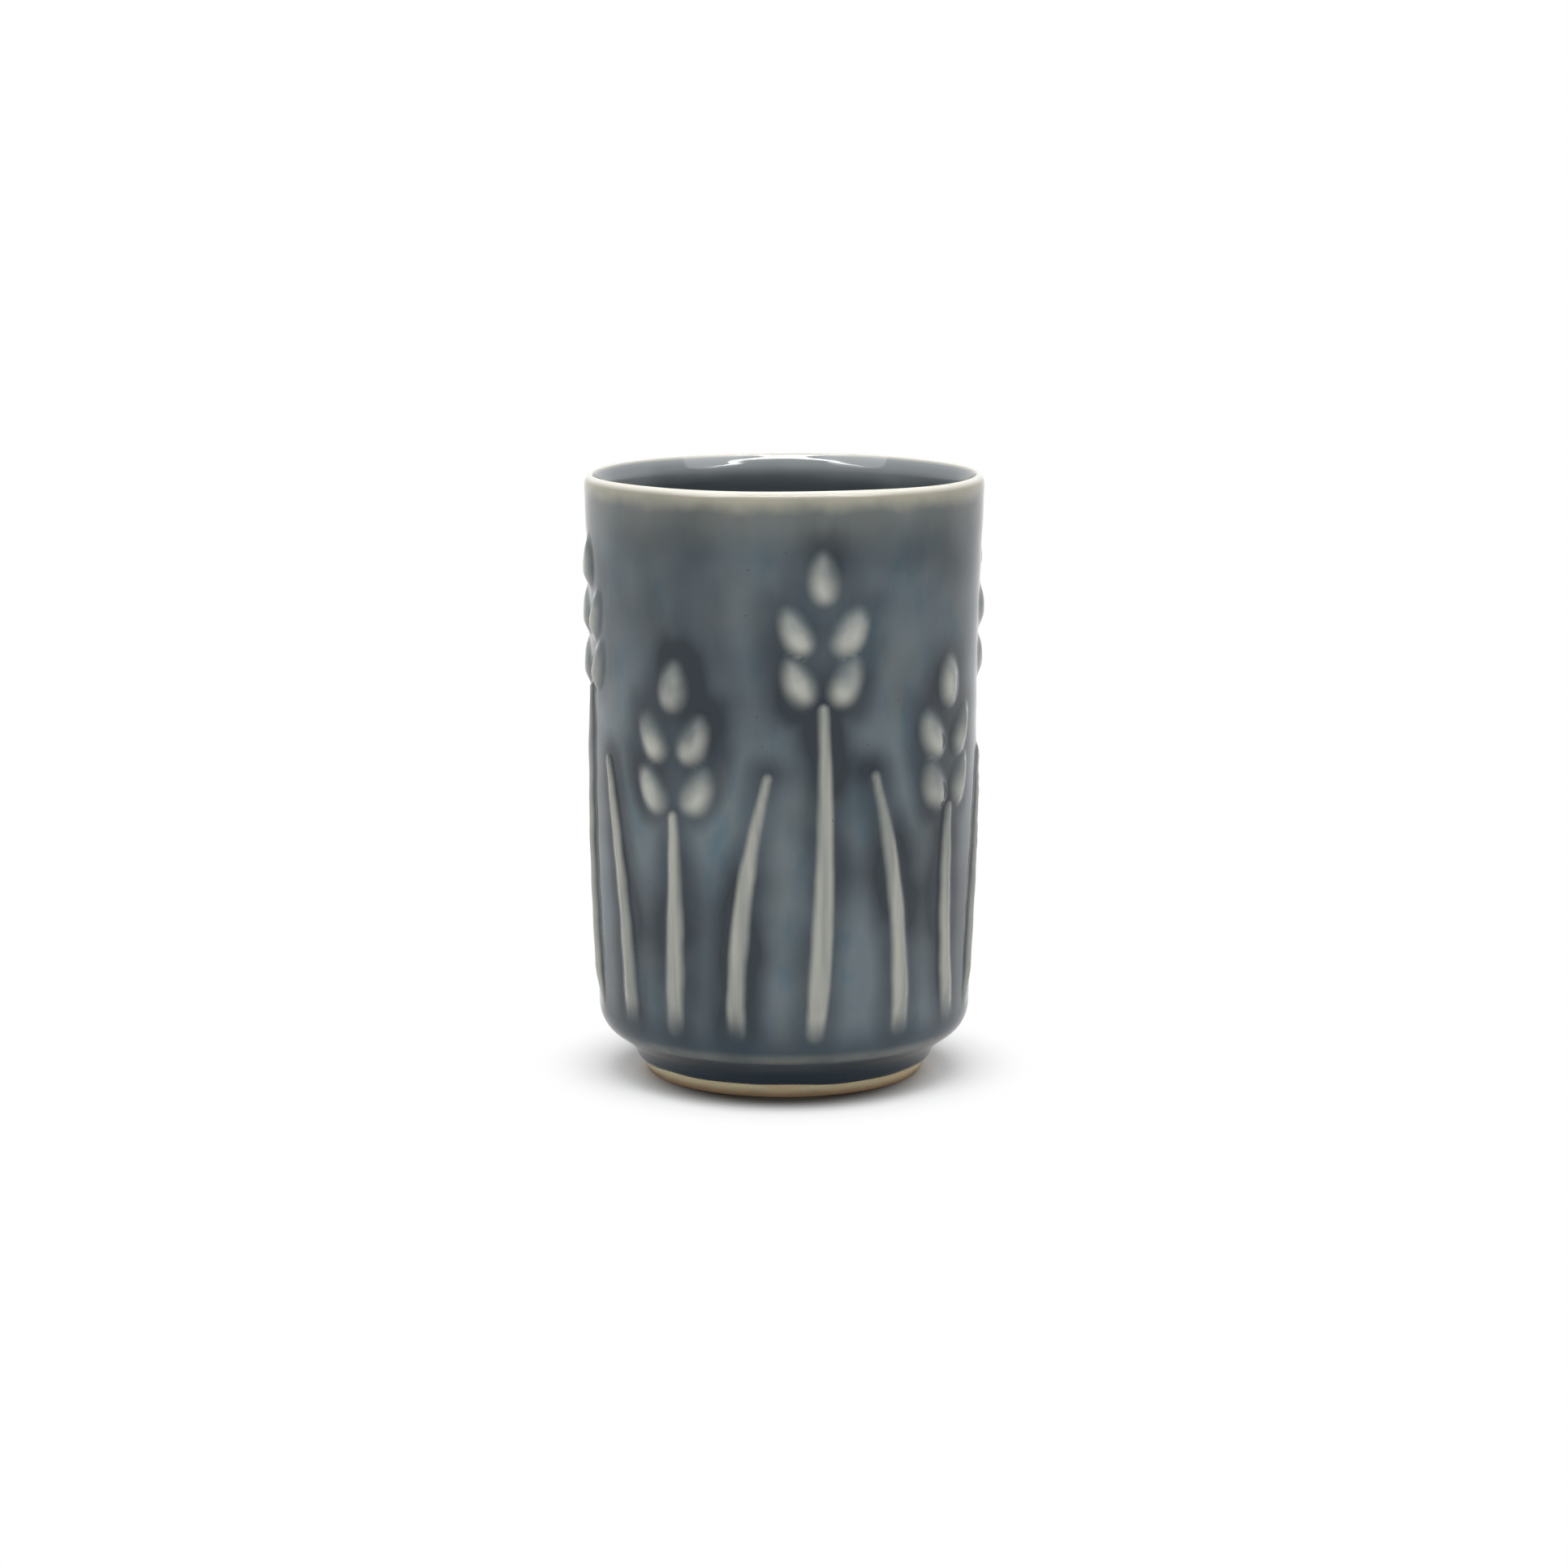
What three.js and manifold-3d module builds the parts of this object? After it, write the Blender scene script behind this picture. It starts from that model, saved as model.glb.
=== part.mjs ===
// Whiskey cup of thrown stoneware. A clay body stands on a turned foot ring. Beads of white slip are
// trailed on its outside wall as upright barley ears and leaf blades. A glaze coat covers the outside
// round those beads, which stand through it, and a liner glaze covers the inside.
// Millimetres, +Z up. The origin is the centre of the foot ring's standing face.
import * as THREE from "three";
import { mergeVertices } from "three/addons/utils/BufferGeometryUtils.js";
import Module from "manifold-3d";

const wasm = await Module();
wasm.setup();

// Driving dimensions of the finished cup, measured over the glaze
const CUP_HEIGHT = 100;
const RIM_RADIUS = 32.9;
const NECK_RADIUS = 31.95;
const NECK_DROP = 28; // rim down to the neck
const BELLY_RADIUS = 31.75;
const BELLY_HEIGHT = 40;
const HEEL_RADIUS = 30.9;
const HEEL_RISE = 5.3; // height of the turn from the wall in towards the foot
const GLAZE = 0.4; // thickness of either glaze coat

// Clay thicknesses
const WALL = 3.2; // at the foot of the inside, thinning up to the lip
const LIP = 1.5;
const FLOOR = 4.5;
const INNER_HEEL = 7.0; // radius of the curve from the inside wall to the floor

// Foot ring
const FOOT_HEIGHT = 6.4; // table to the underside of the glazed wall
const FOOT_RADIUS = 23.0;
const FOOT_RING_WIDTH = 4.0;
const FOOT_BEVEL = 0.4;
const FOOT_FLARE = THREE.MathUtils.degToRad(25); // lean of the ring's outside, wider at the top
const FOOT_FILLET = 1.2; // hollow between the ring and the wall above
const RECESS_DEPTH = 4.0;
const RECESS_FILLET = 1.2;
const RECESS_DRAFT = 0.8; // how far the ring's inside leans over its height
const GLAZE_LINE = 2.3; // bare clay shows below this height

// Slip trails
const EAR_COUNT = 8;
const EAR_TURN = 0.25; // share of the space between ears that the first one is right of the front
const SEAT_GAP = 0.15; // between a trail's base and the clay
const TRAIL_CLEARANCE = 0.3; // between a trail's edge and the glaze round it
const TRAIL_FOOT_RISE = 0.6; // height of the trails' feet above the top of the heel
const STEM_WIDTH = 3.2;
const STEM_RELIEF = 1.2;
const BLADE_WIDTH = 3.0;
const BLADE_RELIEF = 1.1;
const BLADE_LENGTH = 42;
const BLADE_LEAN = 3.6; // sideways reach of a blade's tip
const GRAIN_LENGTH = 8.0;
const GRAIN_WIDTH = 4.4;
const GRAIN_RELIEF = 1.5;
const GRAIN_SPLAY = THREE.MathUtils.degToRad(24);
const GRAIN_PAIR_GAP = 5.2; // between the lower tips of a pair
const GRAIN_PAIRS = 2;
const STEM_TO_EAR = 0.8;
const PAIR_PITCH = 8.2;
const TALL_EAR_DROP = 9.5; // rim down to the tip of a tall ear
const SHORT_EAR_DROP = 27.5; // and to the tip of a short one
const SWAY = 1.6; // sideways wander of a hand-drawn stem
const SWAY_STEP = 2.4; // turn of the wander from one stem to the next, in radians
const STEM_TIP_WIDTH = 1.25;
const BLADE_TIP_WIDTH = 1.1;
const TRAIL_END_WIDTH = 1.0; // a trail's blunt foot, and both ends of a grain
const SHOULDER_SHARE = 0.68; // half-width of a trail at its shoulder, as a share
const SHOULDER_RELIEF = 0.74; // height of that shoulder, as a share of the relief

// Facets
const TURN_STEPS = 36;
const WALL_ROWS = 4;
const INSIDE_ROWS = 3;
const HEEL_ROWS = 4;
const LIP_SIDE_ROWS = 2;
const FILLET_ROWS = 2;
const LONG_TRAIL_STEPS = 5;
const GRAIN_STEPS = 4;
const STEP_SHARE = 0.12; // steps of a trail that are closer than this to a row of the wall give way to it

const clayMaterial = new THREE.MeshStandardMaterial({ color: 0xd2bd9a, roughness: 0.85, metalness: 0 });
const slipMaterial = new THREE.MeshStandardMaterial({ color: 0xa8a9a2, roughness: 0.25, metalness: 0 });
const glazeMaterial = new THREE.MeshStandardMaterial({ color: 0x5f6a72, roughness: 0.12, metalness: 0 });
const linerMaterial = new THREE.MeshStandardMaterial({ color: 0x6d777f, roughness: 0.12, metalness: 0 });

const point = (radius, height) => new THREE.Vector2(radius, height);
const arc = (x, y, rx, ry, from, to, rows) =>
  new THREE.EllipseCurve(x, y, rx, ry, from, to, to < from).getPoints(rows);

// The line of the outside wall in clay, from the top of the heel to the foot of the lip.
const heelTop = FOOT_HEIGHT + HEEL_RISE;
const lipRadius = LIP / 2;
const lipFoot = CUP_HEIGHT - GLAZE - lipRadius;
const wallLine = new THREE.SplineCurve([
  point(HEEL_RADIUS - GLAZE, heelTop),
  point(BELLY_RADIUS - GLAZE, BELLY_HEIGHT),
  point(NECK_RADIUS - GLAZE, CUP_HEIGHT - NECK_DROP),
  point(RIM_RADIUS - GLAZE, lipFoot),
]).getPoints(WALL_ROWS);

// Radius of that line at a height, along its straight rows.
function wallRadius(height) {
  const last = wallLine.length - 2;
  const found = wallLine.findIndex((p, i) => i <= last && height <= wallLine[i + 1].y);
  const row = found < 0 ? last : found;
  const [low, high] = [wallLine[row], wallLine[row + 1]];
  return THREE.MathUtils.mapLinear(height, low.y, high.y, low.x, high.x);
}

// The clay surface that carries glaze, from the glaze line on the foot, up the outside, over the lip
// and down the inside to the middle of the floor.
const underside = FOOT_HEIGHT + GLAZE;
const footSide = (height) => FOOT_RADIUS + Math.tan(FOOT_FLARE) * (height - FOOT_BEVEL);
const hollowHeight = underside - FOOT_FILLET;
const heelCentre = footSide(hollowHeight) + FOOT_FILLET / Math.cos(FOOT_FLARE);
const floorTop = RECESS_DEPTH + FLOOR;
const insideFoot = floorTop + INNER_HEEL;
const clayWall = (height) => THREE.MathUtils.mapLinear(height, insideFoot, lipFoot, WALL, LIP);
const insideRadius = (height) => wallRadius(height) - clayWall(height);
const insideLine = Array.from({ length: INSIDE_ROWS + 1 }, (_, i) => {
  const height = THREE.MathUtils.lerp(lipFoot, insideFoot, i / INSIDE_ROWS);
  return point(insideRadius(height), height);
});
const lipCentre = RIM_RADIUS - GLAZE - lipRadius;
const footLine = [
  point(footSide(GLAZE_LINE), GLAZE_LINE),
  ...arc(
    heelCentre, hollowHeight, FOOT_FILLET, FOOT_FILLET, Math.PI - FOOT_FLARE, Math.PI / 2, FILLET_ROWS,
  ),
];
const heelArc = arc(
  heelCentre, heelTop, HEEL_RADIUS - GLAZE - heelCentre, HEEL_RISE - GLAZE, -Math.PI / 2, 0, HEEL_ROWS,
);
const lipArc = arc(lipCentre, lipFoot, lipRadius, lipRadius, 0, Math.PI, 2 * LIP_SIDE_ROWS);
const insideHeel = arc(
  insideRadius(insideFoot) - INNER_HEEL, insideFoot, INNER_HEEL, INNER_HEEL, 0, -Math.PI / 2, HEEL_ROWS,
);
const outside = [...footLine, ...heelArc.slice(1), ...wallLine.slice(1)];
const skin = [
  ...outside,
  ...lipArc.slice(1),
  ...insideLine.slice(1),
  ...insideHeel.slice(1),
  point(0, floorTop),
];
const crest = outside.length - 1 + LIP_SIDE_ROWS;

// The same line moved out by the thickness of the glaze.
const coat = skin.map((p, i) => {
  const along = skin[Math.min(i + 1, skin.length - 1)].clone().sub(skin[Math.max(i - 1, 0)]).normalize();
  return point(p.x + along.y * GLAZE, p.y - along.x * GLAZE);
});

// The bare clay under the cup, from the middle of the recess out round the foot ring.
const recessTop = FOOT_RADIUS - FOOT_RING_WIDTH - RECESS_DRAFT;
const bareLine = [
  point(0, RECESS_DEPTH),
  ...arc(
    recessTop - RECESS_FILLET, RECESS_DEPTH - RECESS_FILLET, RECESS_FILLET, RECESS_FILLET,
    Math.PI / 2, 0, FILLET_ROWS,
  ),
  point(FOOT_RADIUS - FOOT_RING_WIDTH, FOOT_BEVEL),
  point(FOOT_RADIUS - FOOT_RING_WIDTH + FOOT_BEVEL, 0),
  point(FOOT_RADIUS - FOOT_BEVEL, 0),
  point(FOOT_RADIUS, FOOT_BEVEL),
];

// A solid turned about +Z from a profile of radius and height.
function turned(profile) {
  return new THREE.LatheGeometry(profile, TURN_STEPS).rotateX(Math.PI / 2);
}

function solidOf(geometry) {
  const bare = new THREE.BufferGeometry();
  bare.setAttribute("position", geometry.getAttribute("position"));
  bare.setIndex(geometry.index);
  const merged = mergeVertices(bare);
  return new wasm.Manifold(
    new wasm.Mesh({
      numProp: 3,
      vertProperties: merged.attributes.position.array,
      triVerts: new Uint32Array(merged.index.array),
    }),
  );
}

function geometryOf(solid) {
  const mesh = solid.getMesh();
  const geometry = new THREE.BufferGeometry();
  geometry.setAttribute("position", new THREE.BufferAttribute(mesh.vertProperties, 3));
  geometry.setIndex(new THREE.BufferAttribute(mesh.triVerts, 1));
  return geometry;
}

// A point of the wall from its place round the cup, in millimetres at the belly, its height, and how
// far it stands off the clay.
function onWall(across, height, off) {
  const turn = across / BELLY_RADIUS - Math.PI / 2;
  const radius = wallRadius(height) + off;
  return new THREE.Vector3(radius * Math.cos(turn), radius * Math.sin(turn), height);
}

// A closed loft of rings that each hold the same number of points.
function loft(rings) {
  const sides = rings[0].length;
  const positions = rings.flat().flatMap((p) => p.toArray());
  const index = [];
  for (let ring = 0; ring + 1 < rings.length; ring++) {
    for (let side = 0; side < sides; side++) {
      const next = (side + 1) % sides;
      const [a, b] = [ring * sides + side, ring * sides + next];
      index.push(a, a + sides, b, b, a + sides, b + sides);
    }
  }
  const last = (rings.length - 1) * sides;
  for (let side = 1; side + 1 < sides; side++) {
    index.push(0, side, side + 1, last, last + side + 1, last + side);
  }
  const geometry = new THREE.BufferGeometry();
  geometry.setAttribute("position", new THREE.Float32BufferAttribute(positions, 3));
  geometry.setIndex(index);
  return geometry;
}

// Shares of a trail's length to step at, from 0 at its foot to 1 at its tip. They are closer at its ends,
// and there is one on each row of the wall that it crosses, so that its base keeps to the clay.
function shares(trail) {
  const [foot, tip] = [trail.line.getPoint(0).y, trail.line.getPoint(1).y];
  const rows = wallLine
    .map((p) => THREE.MathUtils.inverseLerp(foot, tip, p.y))
    .filter((row) => row > 0 && row < 1);
  const step = (_, i) => (1 - Math.cos((Math.PI * i) / trail.steps)) / 2;
  const spread = Array.from({ length: trail.steps + 1 }, step);
  const kept = spread.filter(
    (share, i) => i === 0 || i === trail.steps || rows.every((row) => Math.abs(row - share) > STEP_SHARE),
  );
  return [...kept, ...rows].sort((a, b) => a - b);
}

// A trail's centre line on the unrolled wall, with its half-width and relief at each step.
function stations(trail) {
  return shares(trail).map((share) => {
    const width = trail.widthAt(share);
    return {
      at: trail.line.getPoint(share),
      along: trail.line.getTangent(share),
      half: width / 2,
      relief: trail.relief * Math.sqrt(Math.min(1, width / trail.width)),
    };
  });
}

// The ring of points across a trail, from pairs of a distance to its right and a height off the clay.
function ring(station, outline) {
  return outline.map(([side, off]) =>
    onWall(station.at.x + side * station.along.y, station.at.y - side * station.along.x, off),
  );
}

// The bead itself: a low dome across, with a flat base that sits on the clay.
function bead(trail) {
  const rings = stations(trail).map((s) =>
    ring(s, [
      [-s.half, SEAT_GAP],
      [s.half, SEAT_GAP],
      [s.half * SHOULDER_SHARE, SEAT_GAP + s.relief * SHOULDER_RELIEF],
      [0, SEAT_GAP + s.relief],
      [-s.half * SHOULDER_SHARE, SEAT_GAP + s.relief * SHOULDER_RELIEF],
    ]),
  );
  return loft(rings);
}

// The space that a trail takes out of the glaze.
function opening(trail) {
  const all = stations(trail);
  const rings = all.map((s, i) => {
    const end = i === 0 ? -1 : i === all.length - 1 ? 1 : 0;
    const moved = { ...s, at: s.at.clone().addScaledVector(s.along, end * TRAIL_CLEARANCE) };
    const half = s.half + TRAIL_CLEARANCE;
    return ring(moved, [[-half, -GLAZE], [half, -GLAZE], [half, 2 * GLAZE], [-half, 2 * GLAZE]]);
  });
  return loft(rings);
}

// A long trail is blunt at its foot and thins towards its tip. A grain is an oval.
const taper = (width, tipWidth) => (share) =>
  share === 0 ? TRAIL_END_WIDTH : THREE.MathUtils.lerp(width, tipWidth, share ** 2);
const oval = (width) => (share) =>
  Math.max(TRAIL_END_WIDTH, 2 * width * Math.sqrt(share * (1 - share)));

// Every trail of the cup. Ears alternate tall and short, with a blade beside each.
const trails = [];
const earPitch = (2 * Math.PI * BELLY_RADIUS) / EAR_COUNT;
const trailFoot = heelTop + TRAIL_FOOT_RISE;
const earLength = GRAIN_PAIRS * PAIR_PITCH + GRAIN_LENGTH;
for (let ear = 0; ear < EAR_COUNT; ear++) {
  const name = String(ear + 1).padStart(2, "0");
  const middle = (ear + EAR_TURN) * earPitch;
  const wander = SWAY * Math.sin(SWAY_STEP * (ear + 1));
  const drop = ear % 2 === 0 ? TALL_EAR_DROP : SHORT_EAR_DROP;
  const earFoot = CUP_HEIGHT - drop - earLength;
  const stemTip = earFoot - STEM_TO_EAR;
  trails.push({
    name: `slip_stem_${name}`,
    line: new THREE.QuadraticBezierCurve(
      point(middle - wander, trailFoot),
      point(middle + wander, (trailFoot + stemTip) / 2),
      point(middle, stemTip),
    ),
    width: STEM_WIDTH, relief: STEM_RELIEF, steps: LONG_TRAIL_STEPS,
    widthAt: taper(STEM_WIDTH, STEM_TIP_WIDTH),
  });
  for (let grain = 0; grain < 2 * GRAIN_PAIRS + 1; grain++) {
    const side = grain === 2 * GRAIN_PAIRS ? 0 : grain % 2 === 0 ? -1 : 1;
    const foot = point(
      middle + (side * GRAIN_PAIR_GAP) / 2, earFoot + PAIR_PITCH * Math.floor(grain / 2),
    );
    const tip = point(Math.sin(side * GRAIN_SPLAY), Math.cos(side * GRAIN_SPLAY));
    trails.push({
      name: `slip_grain_${name}_${grain + 1}`,
      line: new THREE.LineCurve(foot, foot.clone().addScaledVector(tip, GRAIN_LENGTH)),
      width: GRAIN_WIDTH, relief: GRAIN_RELIEF, steps: GRAIN_STEPS,
      widthAt: oval(GRAIN_WIDTH),
    });
  }
  const lean = BLADE_LEAN * (ear % 2 === 0 ? -1 : 1);
  const bladeMiddle = middle + earPitch / 2;
  trails.push({
    name: `slip_blade_${name}`,
    line: new THREE.QuadraticBezierCurve(
      point(bladeMiddle - lean / 2, trailFoot),
      point(bladeMiddle - lean / 2, trailFoot + BLADE_LENGTH / 2),
      point(bladeMiddle + lean, trailFoot + BLADE_LENGTH),
    ),
    width: BLADE_WIDTH, relief: BLADE_RELIEF, steps: LONG_TRAIL_STEPS,
    widthAt: taper(BLADE_WIDTH, BLADE_TIP_WIDTH),
  });
}

// The outside coat, opened round every trail, and the liner. They meet on the crest of the lip.
const coatProfile = [...coat.slice(0, crest + 1), ...skin.slice(0, crest + 1).reverse(), coat[0]];
const plainCoat = solidOf(turned(coatProfile));
const openCoat = trails.reduce((solid, trail) => solid.subtract(solidOf(opening(trail))), plainCoat);

const cup = new THREE.Group();
function add(name, geometry, material) {
  const mesh = new THREE.Mesh(geometry, material.clone());
  mesh.name = name;
  cup.add(mesh);
}
add("clay_body", turned([...bareLine, ...skin]), clayMaterial);
add("outer_glaze", geometryOf(openCoat), glazeMaterial);
add("liner_glaze", turned([...skin.slice(crest).reverse(), ...coat.slice(crest)]), linerMaterial);
for (const trail of trails) add(trail.name, bead(trail), slipMaterial);

export default cup;
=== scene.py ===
import math

import bpy
import numpy as np
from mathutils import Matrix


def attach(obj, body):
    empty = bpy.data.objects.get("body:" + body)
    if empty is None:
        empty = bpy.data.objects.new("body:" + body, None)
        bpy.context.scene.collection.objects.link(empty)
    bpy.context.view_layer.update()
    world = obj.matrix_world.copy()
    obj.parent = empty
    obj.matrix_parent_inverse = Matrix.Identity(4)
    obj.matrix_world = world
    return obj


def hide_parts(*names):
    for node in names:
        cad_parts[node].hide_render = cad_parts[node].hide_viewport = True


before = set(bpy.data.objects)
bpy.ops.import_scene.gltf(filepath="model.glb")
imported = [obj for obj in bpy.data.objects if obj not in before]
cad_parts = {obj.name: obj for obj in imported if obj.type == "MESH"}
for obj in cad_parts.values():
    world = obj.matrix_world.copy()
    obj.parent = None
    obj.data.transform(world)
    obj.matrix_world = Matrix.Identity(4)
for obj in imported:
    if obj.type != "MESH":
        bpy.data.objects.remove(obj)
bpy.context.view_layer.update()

MM = 0.001
ROOT = "root"

# Sizes of the finished cup in millimetres, as in the CAD
CUP_HEIGHT = 100.0
RIM_RADIUS = 32.9
NECK_RADIUS = 31.95
NECK_DROP = 28.0
BELLY_RADIUS = 31.75
BELLY_HEIGHT = 40.0
HEEL_RADIUS = 30.9
HEEL_RISE = 5.3
GLAZE = 0.4
WALL = 3.2
LIP = 1.5
FLOOR = 4.5
INNER_HEEL = 7.0
FOOT_HEIGHT = 6.4
FOOT_RADIUS = 23.0
FOOT_RING_WIDTH = 4.0
FOOT_BEVEL = 0.4
FOOT_FLARE = math.radians(25)
FOOT_FILLET = 1.2
RECESS_DEPTH = 4.0
RECESS_FILLET = 1.2
RECESS_DRAFT = 0.8
GLAZE_LINE = 2.3
EAR_COUNT = 8
EAR_TURN = 0.25
TRAIL_FOOT_RISE = 0.6
STEM_WIDTH = 3.2
STEM_TIP_WIDTH = 1.25
BLADE_WIDTH = 3.0
BLADE_TIP_WIDTH = 1.1
BLADE_LENGTH = 42.0
BLADE_LEAN = 3.6
GRAIN_LENGTH = 8.0
GRAIN_WIDTH = 4.4
GRAIN_SPLAY = math.radians(24)
GRAIN_PAIR_GAP = 5.2
GRAIN_PAIRS = 2
STEM_TO_EAR = 0.8
PAIR_PITCH = 8.2
TALL_EAR_DROP = 9.5
SHORT_EAR_DROP = 27.5
SWAY = 1.6
SWAY_STEP = 2.4

# Relief of the trails, and the distances from an edge between which a flank rises
STEM_RELIEF = 0.9
BLADE_RELIEF = 0.8
GRAIN_RELIEF = 1.05
LONG_FLANK = (0.95, -1.25)
LONG_FOOT_BELOW, LONG_FOOT_ABOVE = 1.5, 7
GRAIN_FLANK = (1.4, -2.0)
GRAIN_SIDE_FLANK = (-4.2, 1.2)

# A grain is plumper at its lower end, and stands up most on its lower outer side
GRAIN_PLUMP = 1.02
GRAIN_TAPER, GRAIN_TAPER_REACH = 0.05, 5
GRAIN_OUTER, GRAIN_LOWER = 0.75, 0.5

# Unevenness from grain to grain, each with the step and start of its sine
GRAIN_SHIFT, SHIFT_WAVE = 0.25, (5.1, 0)
GRAIN_LIFT, LIFT_WAVE = 0.1, (7.3, 1)
GRAIN_TURN, TURN_WAVE = math.radians(4), (3.7, 2)
GRAIN_SWELL, SWELL_WAVE = 0.09, (9.1, 0)

# Unevenness along a stem or blade: size and count of each swell, and how its start goes by the trail's place
LONG_SWELLS = ((0.06, 9, 1), (0.03, 23, 2))

# The rolled lower edge of the glaze
ROLL_DROP = 0.05
ROLL_RISE = 0.9
ROLL_SWELL = 1.15
ROLL_TUCK = -0.1
LINE_WAVES = ((0.10, 3, 1.0), (0.07, 7, 0), (0.04, 13, 2))
LINE_WAVE_REACH = 2.0

# The heel's run into the foot, and the rounded edge of the foot ring
HEEL_TURN_END = -62.0
HEEL_COVE = 1.6
FOOT_ROUND = 0.5

# The lip, and the bevel inside it with its throwing marks
LIP_TAPER = 2.3
LIP_CREST = 0.35
LIP_BEVEL_LEAN = math.radians(23.5)
LIP_BEVEL_FALL = 1.7
BEVEL_TRIES = np.linspace(0.2, 4, 400)
WALL_LEAN_HEIGHT = 90
BEVEL_RIPPLE = 0.0080
BEVEL_RIPPLE_LENGTH = 2.0
BEVEL_RIPPLE_START = 0.75
RIPPLE_WAVERS = ((0.25, 3, 0.8), (0.08, 7, 2.0))
RIPPLE_SWELL, RIPPLE_SWELL_COUNT, RIPPLE_SWELL_START = 0.15, 4, 0.5
RIPPLE_BEGINS = (0.2, 0.55)
RIPPLE_ENDS = (4.2, 2.2)

# How far the clay's lip and the top of its inside lie below the foot of the glazed lip
CLAY_LIP_DROP = 0.5
CLAY_INSIDE_DROP = 0.6

# The thrown form: size, count and start of its waves, the heights over which the faint rings begin,
# and the radii over which the middle of the floor comes out of round
OVAL = (0.10, 2, 0.6)
THREE_SIDED = (0.07, 3, 2.1)
RING_DEPTH, RING_STEP, RING_WAVER = 0.03, 0.83, 0.9
RINGS_BEGIN = (13, 20)
RIM_TILT = (0.10, 2, -1.2)
RIM_WAVE, RIM_WAVE_COUNT = 0.05, 5
RIM_WAVE_POWER = 6
ROUND_MIDDLE = (4, 20)

# Fineness of the meshes
COLUMNS = 480
CLAY_COLUMNS = 240
SPLINE_ROWS = 400
EDGE_ROWS, SIDE_ROWS, FILLET_ROWS, RUN_ROWS, HEEL_ROWS = 9, 7, 13, 5, 18
WALL_ROWS, OVER_ROWS, CREST_ROWS, BEVEL_ROWS = 150, 12, 8, 64
INSIDE_ROWS, INSIDE_CROWDING, BEND_ROWS, FLAT_ROWS = 45, 1.25, 14, 16
TRAIL_POINTS = 90
ROOF_ROWS, RECESS_ROWS, RING_ROWS, CLAY_EDGE_ROWS = 14, 6, 5, 8
CLAY_SIDE_ROWS, CLAY_BEND_ROWS, CLAY_WALL_ROWS, CLAY_INSIDE_ROWS = 14, 10, 30, 24

# Distances from a trail are worked out this near to it, and count as far elsewhere
NEAR_ROWS = 9
NEAR_COLUMNS = 16
FAR = 50.0
DEEPEST = -3
NEARLY_NONE = 1e-9
TINY = 1e-6
LEAST_GRAIN_SLOPE = 1e-3
LEAST_LENGTH = 1e-12
POOL_BLEND = 1.5

# Most that a corner of the grid moves onto a trail's outline, as a share of a quad
MOST_MOVE = 0.5
LEAST_SLOPE = 0.1

underside = FOOT_HEIGHT + GLAZE
hollow_height = underside - FOOT_FILLET
heel_top = FOOT_HEIGHT + HEEL_RISE
lip_foot = CUP_HEIGHT - GLAZE - LIP / 2
floor_top = RECESS_DEPTH + FLOOR
inside_foot = floor_top + INNER_HEEL


def smooth(x, low, high):
    """0 below low, 1 above high, and a smooth step between. High may be under low."""
    t = np.clip((x - low) / (high - low), 0, 1)
    return t * t * (3 - 2 * t)


def waves(angle, *parts):
    """Sines round the cup, each given as its size, count and start, added up."""
    return sum(size * np.sin(count * angle + start) for size, count, start in parts)


def arc(x, z, rx, rz, start, end, rows):
    a = np.radians(np.linspace(start, end, rows + 1))
    return np.stack([x + rx * np.cos(a), z + rz * np.sin(a)], 1)


def spline(points, rows):
    """The curve that the CAD runs through the wall's points."""
    p = np.array(points, float)
    last = len(p) - 1
    out = []
    for t in np.linspace(0, last, rows + 1):
        i = min(int(t), last - 1)
        w = t - i
        a, b, c, d = p[max(i - 1, 0)], p[i], p[i + 1], p[min(i + 2, last)]
        v0, v1 = (c - a) / 2, (d - b) / 2
        cubic = 2 * b - 2 * c + v0 + v1
        square = 3 * c - 3 * b - 2 * v0 - v1
        out.append(cubic * w**3 + square * w**2 + v0 * w + b)
    return np.array(out)


def foot_side(z):
    return FOOT_RADIUS + math.tan(FOOT_FLARE) * (z - FOOT_BEVEL)


heel_centre = foot_side(hollow_height) + FOOT_FILLET / math.cos(FOOT_FLARE)
WALL_POINTS = [
    (HEEL_RADIUS, heel_top),
    (BELLY_RADIUS, BELLY_HEIGHT),
    (NECK_RADIUS, CUP_HEIGHT - NECK_DROP),
    (RIM_RADIUS, lip_foot),
]
fine_wall = spline(WALL_POINTS, SPLINE_ROWS)


def wall_radius(z):
    return np.interp(z, fine_wall[:, 1], fine_wall[:, 0])


def inside_radius(z):
    clay = WALL + (LIP - WALL) * (z - inside_foot) / (lip_foot - inside_foot)
    return wall_radius(z) - 2 * GLAZE - clay


def steps_along(line):
    """Length along a line, from its start to each of its points."""
    return np.concatenate([[0], np.cumsum(np.hypot(*np.diff(line, axis=0).T))])


def even_rows(line, count):
    """The line again, with its points spread evenly along it."""
    step = steps_along(line)
    at = np.linspace(0, step[-1], count + 1)
    return np.stack([np.interp(at, step, line[:, 0]), np.interp(at, step, line[:, 1])], 1)


def bevel_line(start, straight):
    """From the lip's crest down a straight bevel, which then turns down into the inside wall."""
    s = np.linspace(0, straight + LIP_BEVEL_FALL, BEVEL_ROWS + 1)
    wall_lean = math.atan(inside_radius(WALL_LEAN_HEIGHT) - inside_radius(WALL_LEAN_HEIGHT - 1))
    middle = (s[1:] + s[:-1]) / 2
    lean = wall_lean + (LIP_BEVEL_LEAN - wall_lean) * smooth(middle, s[-1], straight)
    steps = np.stack([-np.sin(lean), -np.cos(lean)], 1) * s[1]
    return start + np.concatenate([[[0, 0]], np.cumsum(steps, axis=0)])


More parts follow.
